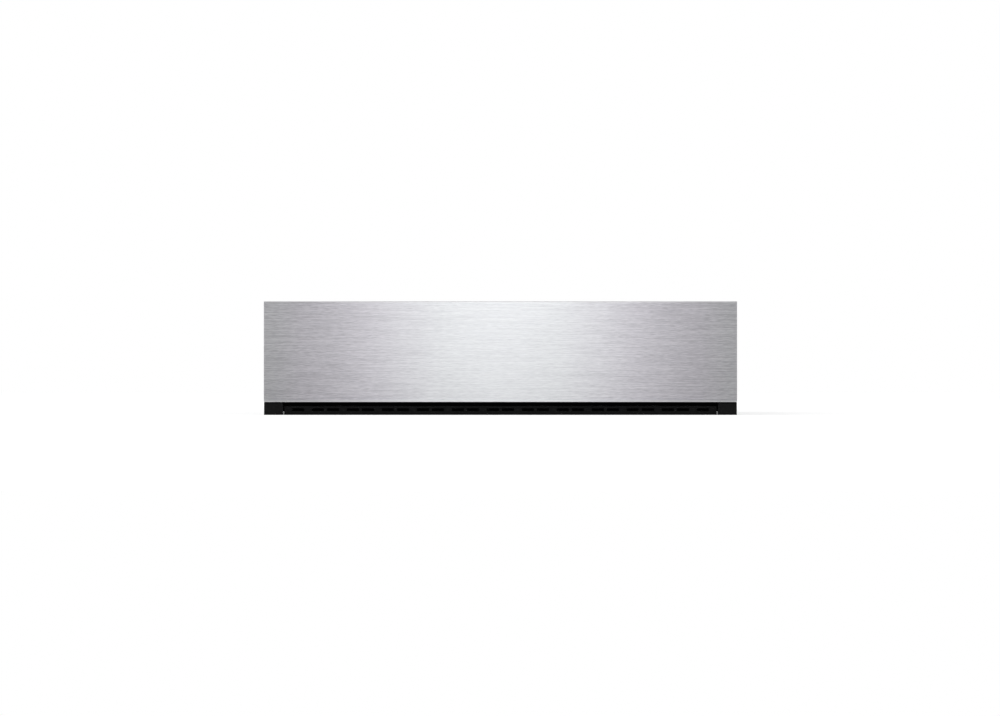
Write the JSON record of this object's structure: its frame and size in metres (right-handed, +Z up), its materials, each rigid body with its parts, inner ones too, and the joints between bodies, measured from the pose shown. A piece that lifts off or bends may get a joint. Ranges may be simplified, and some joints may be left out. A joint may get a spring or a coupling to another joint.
{
  "type": "built-in vacuum sealing drawer",
  "caption": "Flush built-in vacuum sealing drawer: handle-less brushed steel front over a black vent strip, on telescopic runners, with a glass-lidded chamber and sealing bar.",
  "frame": {"origin": "middle of the whole footprint, on the plane that the feet stand on", "axes": "+X to the right seen from the front, +Y to the back, +Z up; the front panel faces -Y"},
  "size_m": [0.596, 0.55, 0.143],
  "materials": {
    "galvanised": "galvanised sheet, satin",
    "front_steel": "horizontally brushed stainless steel",
    "deck_steel": "brushed stainless steel",
    "chamber_steel": "satin deep-drawn stainless steel",
    "runner_steel": "zinc-plated steel",
    "ball_steel": "polished bearing steel and plated cages",
    "screw_steel": "plated screws and rivets",
    "black_trim": "fine matt black plastic",
    "dark_plastic": "moulded black plastic",
    "grey_board": "dense stiffening board",
    "foot_rubber": "black rubber",
    "white_silicone": "translucent pale silicone",
    "red_silicone": "heat-proof silicone",
    "lid_glass": "clear toughened glass",
    "touch_glass": "black printed glass",
    "aluminium": "bead-blasted anodised aluminium",
    "cast_aluminium": "die-cast aluminium",
    "hinge_steel": "satin stainless steel",
    "spring_steel": "oiled spring wire",
    "heater": "resistance band under a cover tape",
    "circuit_board": "green circuit board",
    "windings": "varnished core and windings",
    "motor_paint": "grey painted housing"
  },
  "bodies": {
    "casing": {"casing_floor": "galvanised", "casing_side_left": "galvanised", "casing_side_right": "galvanised", "casing_rear": "galvanised", "casing_top_cover": "galvanised", "casing_front_rail": "galvanised", "casing_rivets": "screw_steel", "feet": "foot_rubber", "vent_strip": "black_trim", "side_trim_left": "black_trim", "side_trim_right": "black_trim", "runner_outer_left": "runner_steel", "runner_outer_right": "runner_steel", "latch_housing": "dark_plastic", "mains_inlet": "dark_plastic"},
    "runner_middles": {"runner_middle_left": "runner_steel", "runner_middle_right": "runner_steel"},
    "cages_outer": {"ball_cages_outer": "ball_steel"},
    "cages_inner": {"ball_cages_inner": "ball_steel"},
    "plunger": {"latch_plunger": "dark_plastic"},
    "lid": {"lid_glass": "lid_glass", "lid_handle": "aluminium", "counter_holder": "aluminium", "pressure_rubber": "red_silicone", "hinge_arms": "hinge_steel"},
    "seal_bar": {"sealing_bar": "aluminium", "heating_band": "heater"},
    "pump_rotor": {"pump_rotor": "hinge_steel"},
    "fan_wheel": {"fan_wheel": "dark_plastic"},
    "port_cap": {"port_cap": "dark_plastic"},
    "drawer": {"runner_inner_left": "runner_steel", "runner_inner_right": "runner_steel", "front_panel": "front_steel", "panel_core": "grey_board", "drawer_pan": "galvanised", "drawer_side_left": "galvanised", "drawer_side_right": "galvanised", "drawer_screws": "screw_steel", "deck": "deck_steel", "vacuum_chamber": "chamber_steel", "chamber_rim": "chamber_steel", "lid_seal": "white_silicone", "chamber_supports": "galvanised", "chamber_outlet": "dark_plastic", "bar_lifters": "aluminium", "hinge_brackets": "hinge_steel", "hinge_springs": "spring_steel", "control_glass": "touch_glass", "control_tray": "dark_plastic", "vacuum_port": "hinge_steel", "pump_head": "cast_aluminium", "pump_motor": "motor_paint", "pump_cradle": "galvanised", "rubber_mounts": "foot_rubber", "exhaust_filter": "dark_plastic", "valve_block": "aluminium", "vacuum_hoses": "white_silicone", "fan_frame": "dark_plastic", "power_board": "circuit_board", "heater_transformer": "windings"}
  },
  "joints": [
    {"name": "drawer_slide", "type": "slide", "parent": "casing", "child": "drawer", "axis": [0, -1, 0], "range_m": [-0.003, 0.43]},
    {"name": "runner_middle_slide", "type": "slide", "parent": "casing", "child": "runner_middles", "axis": [0, -1, 0], "range_m": [-0.003, 0.215]},
    {"name": "cage_outer_slide", "type": "slide", "parent": "casing", "child": "cages_outer", "axis": [0, -1, 0], "range_m": [-0.003, 0.1075]},
    {"name": "cage_inner_slide", "type": "slide", "parent": "casing", "child": "cages_inner", "axis": [0, -1, 0], "range_m": [-0.003, 0.3225]},
    {"name": "latch_plunger_slide", "type": "slide", "parent": "casing", "child": "plunger", "axis": [0, -1, 0], "range_m": [-0.001, 0.014]},
    {"name": "lid_hinge", "type": "hinge", "parent": "drawer", "child": "lid", "pos_m": [0, 0.1195, 0.1214], "axis": [-1, 0, 0], "range_deg": [0, 75], "deforming": ["hinge_springs"]},
    {"name": "seal_bar_lift", "type": "slide", "parent": "drawer", "child": "seal_bar", "axis": [0, 0, 1], "range_m": [0, 0.006]},
    {"name": "pump_spin", "type": "hinge", "parent": "drawer", "child": "pump_rotor", "pos_m": [0, 0.183, 0.0615], "axis": [1, 0, 0], "continuous": true},
    {"name": "fan_spin", "type": "hinge", "parent": "drawer", "child": "fan_wheel", "pos_m": [0.19, 0.22, 0.061], "axis": [0, 1, 0], "continuous": true},
    {"name": "port_cap_lift", "type": "slide", "parent": "drawer", "child": "port_cap", "axis": [0, 0, 1], "range_m": [0, 0.045]}
  ],
  "couplings": [
    {"joint": "runner_middle_slide", "follows": "drawer_slide", "ratio": 0.5},
    {"joint": "cage_outer_slide", "follows": "drawer_slide", "ratio": 0.25},
    {"joint": "cage_inner_slide", "follows": "drawer_slide", "ratio": 0.75},
    {"joint": "latch_plunger_slide", "follows": "drawer_slide", "ratio": 0.032558}
  ]
}
